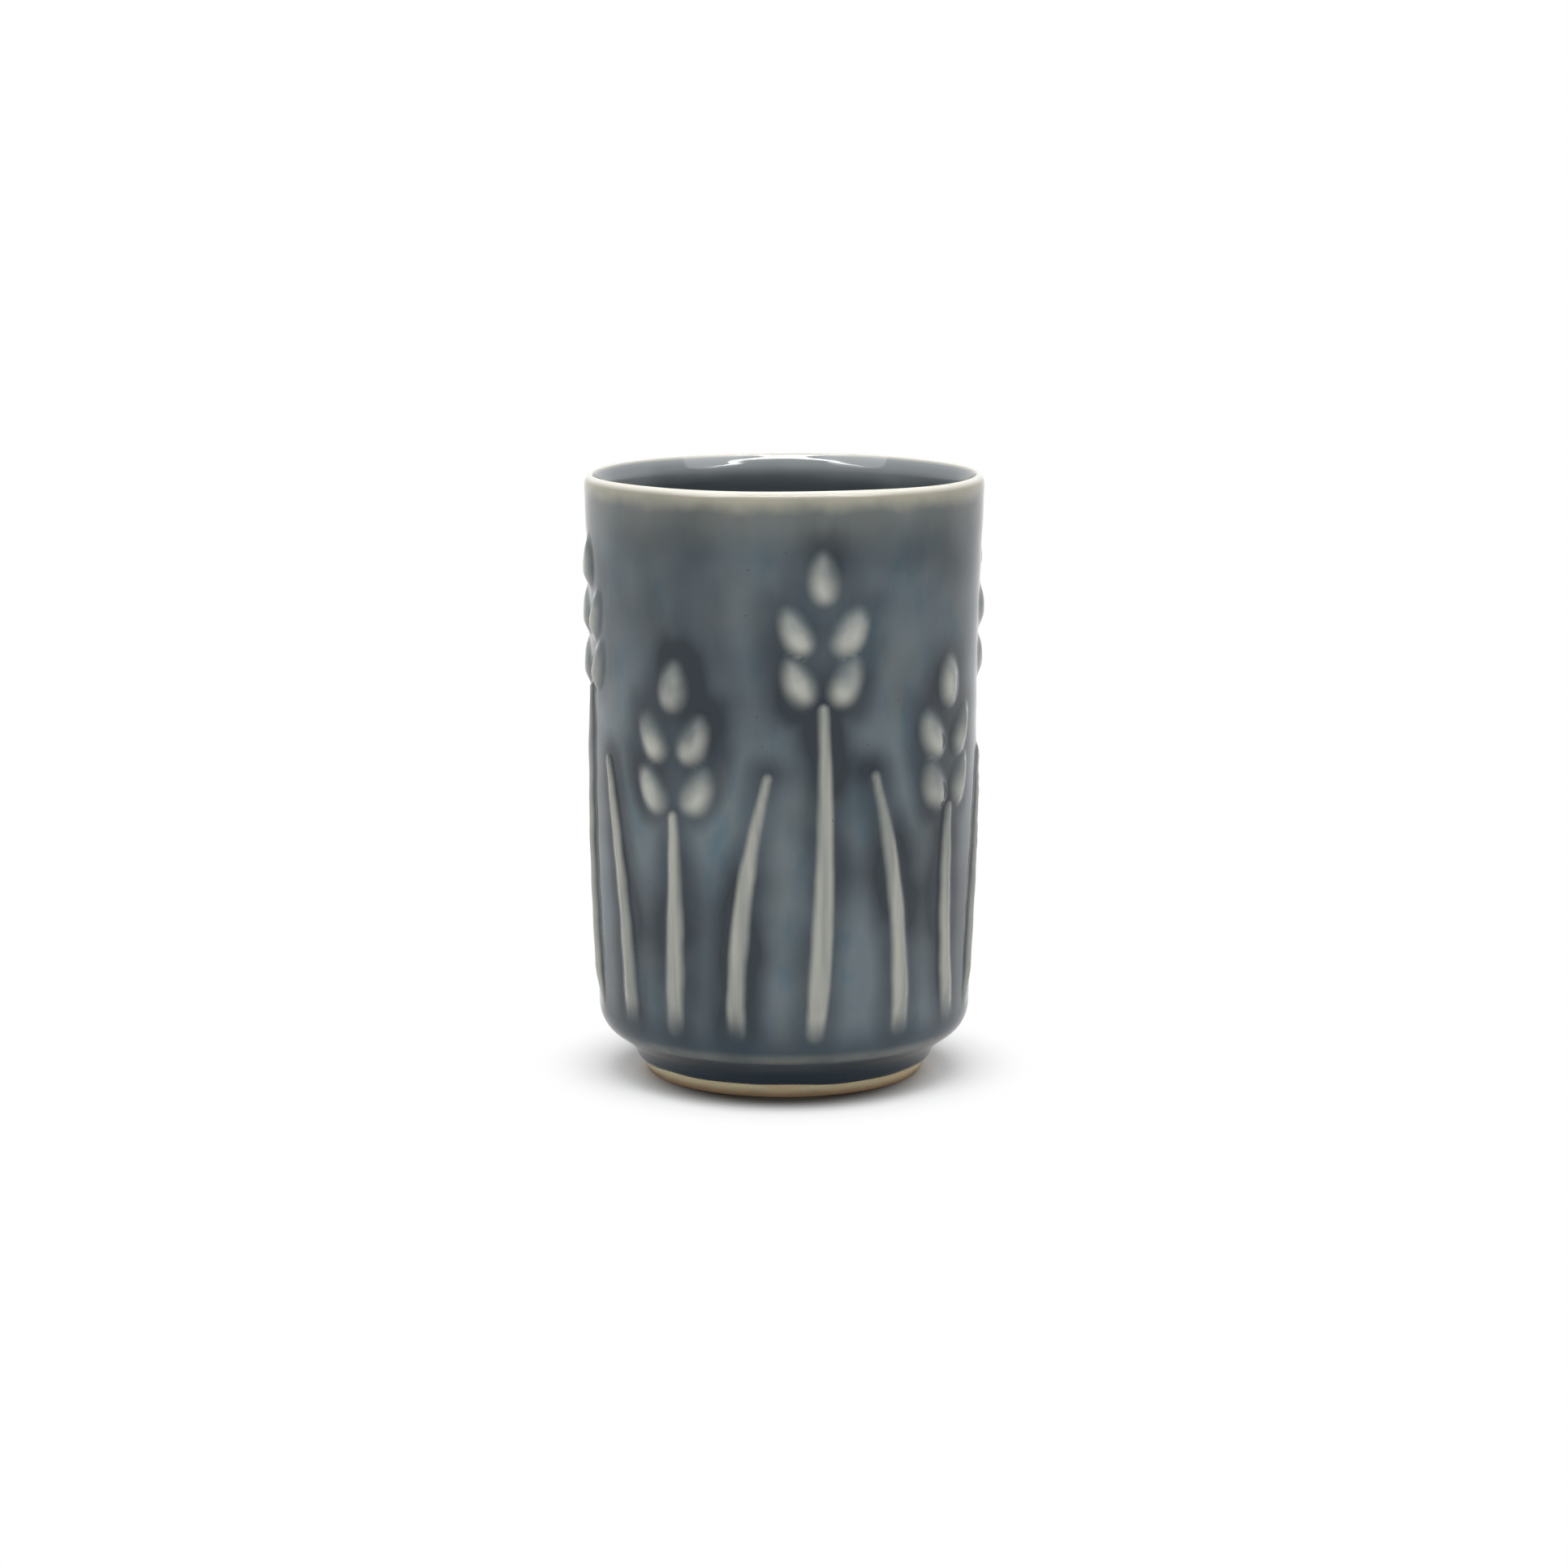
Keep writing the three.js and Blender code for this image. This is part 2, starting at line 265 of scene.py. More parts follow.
# The glazed profile, from the glaze's rolled lower edge on the foot to the middle of the floor inside
def glazed_profile():
    s = np.linspace(0, 1, EDGE_ROWS)
    z = GLAZE_LINE - ROLL_DROP + ROLL_RISE * s
    roll = GLAZE * ROLL_SWELL * np.sqrt(1 - (1 - s) ** 2)
    roll[0] = ROLL_TUCK
    edge = np.stack([foot_side(z) + roll, z], 1)
    heel_width = HEEL_RADIUS - heel_centre
    heel = arc(heel_centre, heel_top, heel_width, HEEL_RISE, HEEL_TURN_END, 0, HEEL_ROWS)
    out = (heel[1] - heel[0]) / np.hypot(*(heel[1] - heel[0]))
    up = np.array([math.sin(FOOT_FLARE), math.cos(FOOT_FLARE)])
    start = np.array([foot_side(z[-1]) + GLAZE / math.cos(FOOT_FLARE), z[-1]])
    reach = np.linalg.solve(np.stack([up, -out], 1), heel[0] - start)[0]
    corner = start + up * reach
    t = np.linspace(0, 1, FILLET_ROWS)[:, None]
    low_end, high_end = corner - up * HEEL_COVE, corner + out * HEEL_COVE
    fillet = low_end * (1 - t) ** 2 + 2 * corner * t * (1 - t) + high_end * t**2
    side = start + (low_end - start) * np.linspace(0, 1, SIDE_ROWS)[1:-1, None]
    run = high_end + (heel[0] - high_end) * np.linspace(0, 1, RUN_ROWS)[1:-1, None]
    crest_radius = RIM_RADIUS - LIP / 2 - GLAZE
    shoulder = CUP_HEIGHT - LIP_TAPER
    wall = even_rows(fine_wall[fine_wall[:, 1] < shoulder], WALL_ROWS)
    shoulder_width = wall_radius(shoulder) - crest_radius
    over = arc(crest_radius, shoulder, shoulder_width, LIP_TAPER, 0, 90, OVER_ROWS)
    crest_end = 180 - math.degrees(LIP_BEVEL_LEAN)
    crest_foot = CUP_HEIGHT - LIP_CREST
    crest = arc(crest_radius, crest_foot, LIP_CREST, LIP_CREST, 90, crest_end, CREST_ROWS)
    tries = [bevel_line(crest[-1], straight) for straight in BEVEL_TRIES]
    bevel = min(tries, key=lambda line: abs(line[-1, 0] - inside_radius(line[-1, 1])))
    top = bevel[-1, 1]
    z = top - (top - inside_foot) * np.linspace(0, 1, INSIDE_ROWS) ** INSIDE_CROWDING
    inside = np.stack([inside_radius(z), z], 1)
    bend = INNER_HEEL - GLAZE
    bend_centre = inside_radius(inside_foot) - bend
    turn = arc(bend_centre, inside_foot, bend, bend, 0, -90, BEND_ROWS)
    flat_radius = np.linspace(turn[-1, 0], 0, FLAT_ROWS)
    flat = np.stack([flat_radius, np.full(FLAT_ROWS, floor_top + GLAZE)], 1)
    outer = np.concatenate([edge, side, fillet, run, heel, wall[1:], over[1:]])
    liner = np.concatenate([crest[1:], bevel[1:], inside[1:], turn[1:], flat[1:]])
    return np.concatenate([outer, liner]), len(outer) - 1


profile, crest_row = glazed_profile()
rows = len(profile)
along = np.gradient(profile, axis=0)
along /= np.hypot(along[:, :1], along[:, 1:])
normal = np.stack([along[:, 1], -along[:, 0]], 1)
length = steps_along(profile)
below_crest = np.abs(length - length[crest_row])

turn = 2 * np.pi * np.arange(COLUMNS) / COLUMNS
across = turn * BELLY_RADIUS
round_cup = 2 * np.pi * BELLY_RADIUS


def uneven(order, wave):
    step, start = wave
    return math.sin(step * order + start)


# Slip trails on the unrolled wall, each with its name, its line, its sizes and its relief
def trail_list():
    pitch = round_cup / EAR_COUNT
    foot = heel_top + TRAIL_FOOT_RISE
    ear_length = GRAIN_PAIRS * PAIR_PITCH + GRAIN_LENGTH
    for ear in range(EAR_COUNT):
        number = f"{ear + 1:02d}"
        middle = (ear + EAR_TURN) * pitch
        wander = SWAY * math.sin(SWAY_STEP * (ear + 1))
        ear_foot = CUP_HEIGHT - (SHORT_EAR_DROP if ear % 2 else TALL_EAR_DROP) - ear_length
        tip = ear_foot - STEM_TO_EAR
        bend = [(middle - wander, foot), (middle + wander, (foot + tip) / 2), (middle, tip)]
        yield f"slip_stem_{number}", bend, STEM_WIDTH, STEM_TIP_WIDTH, STEM_RELIEF
        lean = BLADE_LEAN * (1 if ear % 2 else -1)
        centre = middle + pitch / 2
        bend = [
            (centre - lean / 2, foot),
            (centre - lean / 2, foot + BLADE_LENGTH / 2),
            (centre + lean, foot + BLADE_LENGTH),
        ]
        yield f"slip_blade_{number}", bend, BLADE_WIDTH, BLADE_TIP_WIDTH, BLADE_RELIEF
        for grain in range(2 * GRAIN_PAIRS + 1):
            side = 0 if grain == 2 * GRAIN_PAIRS else (1 if grain % 2 else -1)
            order = ear * (2 * GRAIN_PAIRS + 1) + grain
            x = middle + side * GRAIN_PAIR_GAP / 2 + GRAIN_SHIFT * uneven(order, SHIFT_WAVE)
            z = ear_foot + PAIR_PITCH * (grain // 2) + GRAIN_LIFT * uneven(order, LIFT_WAVE)
            splay = side * GRAIN_SPLAY + GRAIN_TURN * uneven(order, TURN_WAVE)
            width = GRAIN_WIDTH * (1 + GRAIN_SWELL * uneven(order, SWELL_WAVE))
            yield f"slip_grain_{number}_{grain + 1}", [(x, z), side], width, splay, GRAIN_RELIEF


def wrapped(x):
    return (x + round_cup / 2) % round_cup - round_cup / 2


def long_trail(bend, width, tip_width):
    """Distance outside the edge of a stem or blade."""
    t = np.linspace(0, 1, TRAIL_POINTS)[:, None]
    p = np.array(bend, float)
    line = p[0] * (1 - t) ** 2 + 2 * p[1] * t * (1 - t) + p[2] * t**2
    share, first = t[:, 0], p[0][0]
    half = (width + (tip_width - width) * share**2) / 2
    half *= sum((size * np.sin(count * share + start * first) for size, count, start in LONG_SWELLS), 1)
    x = wrapped(across - p[1][0]) + p[1][0]
    z = profile[:, 1]
    near_rows = np.where((z > p[0][1] - NEAR_ROWS) & (z < p[2][1] + NEAR_ROWS))[0]
    near_rows = near_rows[near_rows <= crest_row]
    near_columns = np.where(np.abs(x - p[1][0]) < NEAR_COLUMNS)[0]
    near_x, near_z = x[None, near_columns], z[near_rows, None]
    near = np.full((len(near_rows), len(near_columns)), np.inf)
    for (line_x, line_z), reach in zip(line, half):
        near = np.minimum(near, np.hypot(near_x - line_x, near_z - line_z) - reach)
    gap = np.full((rows, COLUMNS), FAR)
    gap[np.ix_(near_rows, near_columns)] = near
    return gap


def grain_trail(at, width, splay, side):
    """Distance outside the edge of a grain, and how far a point is to its lower outer side."""
    x = wrapped(across[None, :] - at[0])
    z = profile[:, 1][:, None] - at[1]
    long = GRAIN_LENGTH / 2
    u = x * math.sin(splay) + z * math.cos(splay) - long
    v = x * math.cos(splay) - z * math.sin(splay)
    taper = GRAIN_TAPER * np.clip(u, -GRAIN_TAPER_REACH, GRAIN_TAPER_REACH)
    half = width / 2 * (GRAIN_PLUMP - taper)
    q = np.sqrt((u / long) ** 2 + (v / half) ** 2) + TINY
    slope = np.sqrt((u / long**2) ** 2 + (v / half**2) ** 2) / q
    gap = np.clip((q - 1) / np.maximum(slope, LEAST_GRAIN_SLOPE), DEEPEST, FAR)
    gap[crest_row + 1:] = FAR
    return gap, GRAIN_OUTER * side * v - GRAIN_LOWER * u


def whole_grid(value):
    return np.full((rows, COLUMNS), value)


long_gap, grain_gap, nearest_gap = whole_grid(FAR), whole_grid(FAR), whole_grid(FAR)
long_crowd, grain_crowd = whole_grid(NEARLY_NONE), whole_grid(NEARLY_NONE)
outer_side, height = whole_grid(0.0), whole_grid(0.0)
nearest_trail = whole_grid(-1)
trail_names = []
for name, bend, width, extra, relief in trail_list():
    if "grain" not in name:
        gap = long_trail(bend, width, extra)
        foot = bend[0][1]
        rise = smooth(profile[:, 1:], foot - LONG_FOOT_BELOW, foot + LONG_FOOT_ABOVE)
        height = np.maximum(height, relief * rise * smooth(gap, *LONG_FLANK))
        long_gap = np.minimum(long_gap, gap)
        long_crowd += np.exp(-gap / POOL_BLEND)
    else:
        gap, side = grain_trail(bend[0], width, extra, bend[1])
        dome = smooth(gap, *GRAIN_FLANK) * smooth(side, *GRAIN_SIDE_FLANK)
        height = np.maximum(height, relief * dome)
        outer_side = np.where(gap < grain_gap, side, outer_side)
        grain_gap = np.minimum(grain_gap, gap)
        grain_crowd += np.exp(-gap / POOL_BLEND)
    nearest_trail = np.where(gap < nearest_gap, len(trail_names), nearest_trail)
    nearest_gap = np.minimum(nearest_gap, gap)
    trail_names.append(name)

# The same distances run softly together between neighbouring trails, for the pooled glaze
long_near = -POOL_BLEND * np.log(long_crowd)
grain_near = -POOL_BLEND * np.log(grain_crowd)


# The throwing marks on the bevel inside the lip, wavering round the cup
def bevel_ripple(angle):
    down = below_crest[:, None]
    inside = (np.arange(rows) > crest_row)[:, None]
    waver = waves(angle, *RIPPLE_WAVERS)
    wave = np.sin(2 * np.pi * (down - BEVEL_RIPPLE_START) / BEVEL_RIPPLE_LENGTH + waver)
    strong = 1 + RIPPLE_SWELL * np.sin(RIPPLE_SWELL_COUNT * angle + RIPPLE_SWELL_START + down)
    there = smooth(down, *RIPPLE_BEGINS) * smooth(down, *RIPPLE_ENDS)
    return inside * BEVEL_RIPPLE * strong * wave * there


# The thrown form: not quite round, with faint throwing rings
def thrown(radius, z, angle):
    share = np.clip(z / CUP_HEIGHT, 0, 1)
    out = waves(angle, OVAL) * share + waves(angle, THREE_SIDED) * share**2
    rings = np.sin(z * RING_STEP + RING_WAVER * np.sin(angle))
    out = out + RING_DEPTH * rings * smooth(z, *RINGS_BEGIN)
    lift = waves(angle, RIM_TILT) + RIM_WAVE * np.cos(RIM_WAVE_COUNT * angle)
    return radius + out * smooth(radius, *ROUND_MIDDLE), z + lift * share**RIM_WAVE_POWER


# The glazed surface as a grid of points, rows along the profile and columns round the cup
angle = turn - np.pi / 2
height = height + bevel_ripple(angle[None, :])
radius = profile[:, :1] + normal[:, :1] * height
z = profile[:, 1:] + normal[:, 1:] * height
z = z + waves(angle, *LINE_WAVES) * smooth(length, LINE_WAVE_REACH, 0.0)[:, None]
radius, z = thrown(radius, z, angle[None, :])
grid = np.stack([radius * np.cos(angle), radius * np.sin(angle), z], 2) * MM


def unit(vectors):
    return vectors / np.maximum(np.linalg.norm(vectors, axis=2, keepdims=True), LEAST_LENGTH)


d_row = np.gradient(grid, axis=0)
d_col = (np.roll(grid, -1, 1) - np.roll(grid, 1, 1)) / 2
grid_normal = np.cross(d_col, d_row)
grid_normal[-1] = (0, 0, 1)
grid_normal = unit(grid_normal)


def ring_quads(row_count, columns):
    """Numbers of a turned grid's points, and the quads between them."""
    index = np.arange(row_count * columns).reshape(row_count, columns)
    following = np.roll(index, -1, 1)
    quads = np.stack([index[:-1], following[:-1], following[1:], index[1:]], 2)
    return index, following, quads


# The quads of the glazed grid, and the slip trail that each of them lies on, or -1
index, _, quads = ring_quads(rows, COLUMNS)
on_trail = nearest_gap.reshape(-1)[quads].mean(axis=2) < 0
quad_trail = np.where(on_trail, nearest_trail.reshape(-1)[quads].max(axis=2), -1)

# Corners along a trail's outline move onto it, so that the trail and the glaze part on a clean line
quads_on_trail = np.bincount(quads[on_trail].reshape(-1), minlength=rows * COLUMNS)
quads_on_trail = quads_on_trail.reshape(rows, COLUMNS)
on_outline = (quads_on_trail > 0) & (quads_on_trail < 4)
row_size = np.gradient(length)[:, None]
column_size = round_cup / COLUMNS
row_slope = np.gradient(nearest_gap, axis=0) / row_size
column_slope = (np.roll(nearest_gap, -1, 1) - np.roll(nearest_gap, 1, 1)) / (2 * column_size)
pull = -nearest_gap * on_outline / np.maximum(row_slope**2 + column_slope**2, LEAST_SLOPE)
row_move = np.clip(pull * row_slope / row_size, -MOST_MOVE, MOST_MOVE)
column_move = np.clip(pull * column_slope / column_size, -MOST_MOVE, MOST_MOVE)


def after_move(values):
    """Values of the grid, read where its corners have moved to."""
    row_at = np.arange(rows)[:, None] + row_move
    column_at = np.arange(COLUMNS) + column_move
    row = np.minimum(row_at.astype(int), rows - 2)
    column = np.floor(column_at).astype(int)
    down, right = row_at - row, column_at - column
    column, next_column = column % COLUMNS, (column + 1) % COLUMNS
    corners = [
        (row, column, (1 - down) * (1 - right)),
        (row, next_column, (1 - down) * right),
        (row + 1, column, down * (1 - right)),
        (row + 1, next_column, down * right),
    ]
    values = values.reshape(rows, COLUMNS, -1)
    return sum(values[r, c] * share[:, :, None] for r, c, share in corners)


grid = after_move(grid)
grid_normal = unit(after_move(grid_normal))


def linked(name, data):
    piece = bpy.data.objects.new(name, data)
    bpy.context.scene.collection.objects.link(piece)
    return piece


def grid_piece(name, attributes, quads, fan=None):
    """A mesh of some quads of the glazed grid, and of a fan of triangles at its pole."""
    fan = np.zeros((0, 3), int) if fan is None else fan
    quads = quads.reshape(-1, 4)
    corners = np.concatenate([quads.reshape(-1), fan.reshape(-1)])
    used, corner = np.unique(corners, return_inverse=True)
    faces = corner[:quads.size].reshape(-1, 4).tolist()
    faces += corner[quads.size:].reshape(-1, 3).tolist()
    mesh = bpy.data.meshes.new(name)
    mesh.from_pydata(grid.reshape(-1, 3)[used].tolist(), [], faces)
    for key, values in attributes.items():
        layer = mesh.attributes.new(key, "FLOAT", "POINT")
        layer.data.foreach_set("value", values.reshape(-1)[used].astype(np.float32))
    mesh.shade_smooth()
    mesh.normals_split_custom_set_from_vertices(grid_normal.reshape(-1, 3)[used].tolist())
    return linked(name, mesh)


def turned_piece(name, line, columns):
    """A closed mesh turned from a profile that starts and ends on the axis."""
    a = 2 * np.pi * np.arange(columns) / columns - np.pi / 2
    body = line[1:-1]
    radius, z = thrown(body[:, :1], body[:, 1:] + 0 * a, a[None, :])
    points = np.stack([radius * np.cos(a), radius * np.sin(a), z], 2).reshape(-1, 3)
    index, following, quads = ring_quads(len(body), columns)
    faces = quads.reshape(-1, 4).tolist()
    first, last = len(points), len(points) + 1
    points = np.concatenate([points, [[0, 0, line[0, 1]], [0, 0, line[-1, 1]]]]) * MM
    faces += [[first, following[0, i], index[0, i]] for i in range(columns)]
    faces += [[last, index[-1, i], following[-1, i]] for i in range(columns)]
    mesh = bpy.data.meshes.new(name)
    mesh.from_pydata(points.tolist(), [], faces)
    mesh.shade_smooth()
    return linked(name, mesh)


# The clay: recess, foot ring and bare side, then the surfaces under the glaze
def clay_profile():
    recess = FOOT_RADIUS - FOOT_RING_WIDTH - RECESS_DRAFT
    recess_side = RECESS_DEPTH - RECESS_FILLET
    recess_centre = recess - RECESS_FILLET
    roof = np.linspace((0, RECESS_DEPTH), (recess_centre, RECESS_DEPTH), ROOF_ROWS)
    curve = arc(recess_centre, recess_side, RECESS_FILLET, RECESS_FILLET, 90, 0, RECESS_ROWS)
    inner = FOOT_RADIUS - FOOT_RING_WIDTH
    down = np.linspace((recess, recess_side), (inner, FOOT_BEVEL), RING_ROWS)
    in_edge = arc(inner + FOOT_BEVEL, FOOT_BEVEL, FOOT_BEVEL, FOOT_BEVEL, 180, 270, RING_ROWS)
    lean = math.degrees(FOOT_FLARE)
    round_top = FOOT_ROUND * (1 - math.sin(FOOT_FLARE))
    round_centre = foot_side(round_top) - FOOT_ROUND * math.cos(FOOT_FLARE)
    round_end, side_end = 360 - lean, 180 - lean
    out_edge = arc(round_centre, FOOT_ROUND, FOOT_ROUND, FOOT_ROUND, 270, round_end, CLAY_EDGE_ROWS)
    fillet = arc(heel_centre, hollow_height, FOOT_FILLET, FOOT_FILLET, side_end, 90, CLAY_EDGE_ROWS)
    z = np.linspace(round_top, fillet[0, 1], CLAY_SIDE_ROWS)
    side = np.stack([foot_side(z), z], 1)
    heel_width = HEEL_RADIUS - GLAZE - heel_centre
    heel = arc(heel_centre, heel_top, heel_width, HEEL_RISE - GLAZE, -90, 0, CLAY_BEND_ROWS)
    clay_lip = lip_foot - CLAY_LIP_DROP
    wall = even_rows(fine_wall[fine_wall[:, 1] < clay_lip], CLAY_WALL_ROWS) - (GLAZE, 0)
    lip_middle = RIM_RADIUS - GLAZE - LIP / 2
    lip = arc(lip_middle, clay_lip, LIP / 2, LIP / 2, 0, 180, CLAY_BEND_ROWS)
    z = np.linspace(lip_foot - CLAY_INSIDE_DROP, inside_foot, CLAY_INSIDE_ROWS)
    inside = np.stack([inside_radius(z) + GLAZE, z], 1)
    bend_centre = inside[-1, 0] - INNER_HEEL
    bend = arc(bend_centre, inside_foot, INNER_HEEL, INNER_HEEL, 0, -90, CLAY_BEND_ROWS)
    parts = [roof, curve[1:], down[1:], in_edge[1:], out_edge, side[1:], fillet[1:], heel[1:]]
    parts += [wall[1:], lip[1:], inside[1:], bend[1:], np.array([[0, floor_top]])]
    return np.concatenate(parts)


# Node graphs
class Graph:
    def __init__(self, name):
        self.material = bpy.data.materials.new(name)
        self.material.use_nodes = True
        self.tree = self.material.node_tree
        self.shader = self.tree.nodes["Principled BSDF"]
        self.place = self.add("ShaderNodeTexCoord").outputs["Object"]

    def add(self, kind, **settings):
        node = self.tree.nodes.new(kind)
        for key, value in settings.items():
            setattr(node, key, value)
        return node

    def put(self, socket, value):
        if isinstance(value, bpy.types.NodeSocket):
            self.tree.links.new(value, socket)
        elif isinstance(value, tuple) and len(value) == 3 and len(socket.default_value) == 4:
            socket.default_value = (*value, 1)
        else:
            socket.default_value = value

    def attribute(self, name):
        return self.add("ShaderNodeAttribute", attribute_name=name).outputs["Fac"]

    def math(self, operation, a, b=0.0, clamp=False):
        node = self.add("ShaderNodeMath", operation=operation, use_clamp=clamp)
        self.put(node.inputs[0], a)
        self.put(node.inputs[1], b)
        return node.outputs[0]

    def times(self, a, b):
        return self.math("MULTIPLY", a, b)

    def plus(self, a, b, clamp=False):
        return self.math("ADD", a, b, clamp)

    def swing(self, noise, size):
        """Noise about zero, of a given size."""
        return self.times(self.math("SUBTRACT", noise, 0.5), size)

    def step(self, value, low, high, bottom=0.0, top=1.0):
        node = self.add("ShaderNodeMapRange", interpolation_type="SMOOTHSTEP")
        ends = {"From Min": low, "From Max": high, "To Min": bottom, "To Max": top}
        self.put(node.inputs["Value"], value)
        for key, end in ends.items():
            self.put(node.inputs[key], end)
        return node.outputs[0]

    def soft_min(self, a, b, reach):
        node = self.add("ShaderNodeMath", operation="SMOOTH_MIN")
        for socket, value in zip(node.inputs, (a, b, reach)):
            self.put(socket, value)
        return node.outputs[0]

    def mix(self, share, a, b, blend="MIX"):
        node = self.add("ShaderNodeMix", data_type="RGBA", blend_type=blend, clamp_factor=True)
        self.put(node.inputs[0], share)
        self.put(node.inputs[6], a)
        self.put(node.inputs[7], b)
        return node.outputs[2]

    def stretched(self, scale):
        node = self.add("ShaderNodeMapping")
        self.put(node.inputs["Vector"], self.place)
        node.inputs["Scale"].default_value = scale
        return node.outputs[0]

    def noise(self, scale, detail=2.0, rough=0.5, stretch=None):
        node = self.add("ShaderNodeTexNoise")
        self.put(node.inputs["Vector"], self.stretched(stretch) if stretch else self.place)
        for key, value in (("Scale", scale), ("Detail", detail), ("Roughness", rough)):
            node.inputs[key].default_value = value
        return node.outputs[0]

    def specks(self, scale, size, kept):
        """Small round marks, in a share of the cells of a scatter."""
        node = self.add("ShaderNodeTexVoronoi")
        self.put(node.inputs["Vector"], self.place)
        node.inputs["Scale"].default_value = scale
        tone = self.add("ShaderNodeSeparateColor")
        self.put(tone.inputs[0], node.outputs["Color"])
        dot = self.step(node.outputs["Distance"], size, size * SPECK_CORE)
        return self.times(dot, self.math("LESS_THAN", tone.outputs[0], kept))

    def distance(self, point):
        node = self.add("ShaderNodeVectorMath", operation="DISTANCE")
        self.put(node.inputs[0], self.place)
        node.inputs[1].default_value = point
        return node.outputs["Value"]

    def bump(self, height, distance, under=None):
        node = self.add("ShaderNodeBump")
        self.put(node.inputs["Height"], height)
        node.inputs["Distance"].default_value = distance
        node.inputs["Strength"].default_value = 1.0
        if under is not None:
            self.put(node.inputs["Normal"], under)
        return node.outputs[0]

    def finish(self, colour, rough, normal, ior):
        self.put(self.shader.inputs["Base Color"], colour)
        self.put(self.shader.inputs["Roughness"], rough)
        self.put(self.shader.inputs["Normal"], normal)
        self.shader.inputs["IOR"].default_value = ior
        return self.material


# Colours of the slip, the outside glaze, the liner and the clay
SLIP = (0.375, 0.381, 0.340)
DAB = (0.135, 0.158, 0.160)
STEM_SLIP = (0.315, 0.318, 0.28)
THIN_SLIP = (0.20, 0.212, 0.194)
POOL = (0.002, 0.010, 0.018)
OPEN = (0.092, 0.119, 0.136)
BLUE = (0.042, 0.092, 0.121)
DULL = (0.108, 0.118, 0.114)
DEEP = (0.009, 0.026, 0.041)
DARK = (0.007, 0.020, 0.034)
TAN = (0.30, 0.287, 0.225)
WARM = (0.14, 0.145, 0.128)
CREAM = (0.76, 0.73, 0.655)
MIDDLE_GREY = (0.5, 0.5, 0.5)
IRON = (0.02, 0.017, 0.014)
LINER = (0.040, 0.050, 0.058)
LINER_RING = (0.062, 0.075, 0.084)
LINER_LOW = (0.125, 0.152, 0.166)
LINER_LOW_RING = (0.16, 0.185, 0.195)
PAINTED_SHEEN = (0.245, 0.268, 0.279)
PALE = (0.34, 0.366, 0.376)
BUFF = (0.70, 0.655, 0.445)
OCHRE = (0.64, 0.525, 0.325)
TOASTED_AND_SHADED = (0.24, 0.125, 0.06)
GRIT = (0.29, 0.215, 0.13)
CLAY_SPECK = (0.16, 0.09, 0.045)

# Noise in the outside glaze: scale, detail and roughness, and a stretch down the wall where it runs
GLAZE_NOISE = {
    "waver": (160, 2, 0.5),
    "streak": (130, 3, 0.55, (1, 1, 0.3)),
    "cloud": (42, 2, 0.5),
    "runs": (110, 3, 0.55, (1, 1, 0.35)),
    "blue": (150, 4, 0.6, (1, 1, 0.5)),
    "dull": (122, 4, 0.6, (1.1, 0.9, 0.5)),
    "mottle": (230, 2, 0.5),
    "brushed": (420, 2, 0.5, (1, 1, 0.06)),
    "cover": (105, 1, 0.5),
    "band": (95, 3, 0.55),
    "fine": (2600, 2, 0.6),
    "gloss": (240, 2, 0.5),
    "wave": (48, 1, 0.3),
    "skin": (900, 2, 0.5),
}

# How far the noise moves each edge, in millimetres, or each tone
EDGE_WAVER = 0.4
POOL_DRIFT = 2.6
SIDE_MOTTLE = 4.0
SINK_DRIFT = 9.0
BAND_DRIFT = 4.0
STREAK_TONE = 0.35
CLOUD_TONE = 2.4

# Where each layer of the outside glaze begins and ends: a distance in millimetres or a noise, from
# and to, and then the shares at both ends where they aren't 0 and 1
POOL_BY_LONG = (0.2, 6.0, 0.04, 0.98)
POOL_BY_GRAIN = (0.2, 6.0, 0.04, 1.0)
POOL_JOIN = 0.25
UPPER_WALL = (56, 82, 1.0, 0.52)
BLUE_PATCH = (0.45, 0.70, 0.0, 0.7)
DULL_PATCH = (0.48, 0.72, 0.0, 0.7)
DAB_SIDE = (-2.6, 2.0)
TRAIL_SINKS = (heel_top - 2.0, heel_top + 5.0)
STEM_EDGE = (0.62, -0.62)
BRUSH_MARK = (0.32, 0.68)
GRAIN_COVER = (0.33, 0.58, 0.6, 1.0)
GRAIN_EDGE = (1.2, -1.9)
DEEP_HEEL = (15.5, 8.5, 0.0, 0.8)
DARK_FOOT = (7.7, 6.3)
ARRIS_TOP = (9.4, 7.7)
ARRIS_FOOT = (6.7, 7.4)
ARRIS_BREAK = (0.3, 0.65, 0.3, 0.75)
WARM_RIM = (12.0, 1.2, 0.0, 0.75)
WARM_STREAK = (0.25, 0.75, 0.6, 1.0)
TAN_BAND = (4.4, 0.9)
CREAM_LIP = (1.6, 0.45)
FINE_GRAIN = (0.25, 0.75, 0.0, 0.16)
GLAZE_GLOSS = (0.3, 0.7, 0.03, 0.075)

# Specks: scale of the scatter, size and share kept, and how strongly they show
SPECK_CORE = 0.55
GLAZE_SPECKS, GLAZE_SPECK_SHARE = (230, 0.042, 0.9), 0.8
LINER_SPECKS, LINER_SPECK_SHARE = (190, 0.05, 0.18), 0.7
CLAY_SPECKS, CLAY_SPECK_SHARE = (900, 0.1, 0.2), 0.6

# Heights of the fine relief in metres, and how strongly glaze and clay reflect
GLAZE_WAVE = 0.00016
GLAZE_SKIN = 0.000005
LINER_WAVE = 0.00002
CLAY_RINGS = 0.00006
CLAY_GRAIN = 0.00004
GLAZE_IOR = 1.5
CLAY_IOR = 1.45


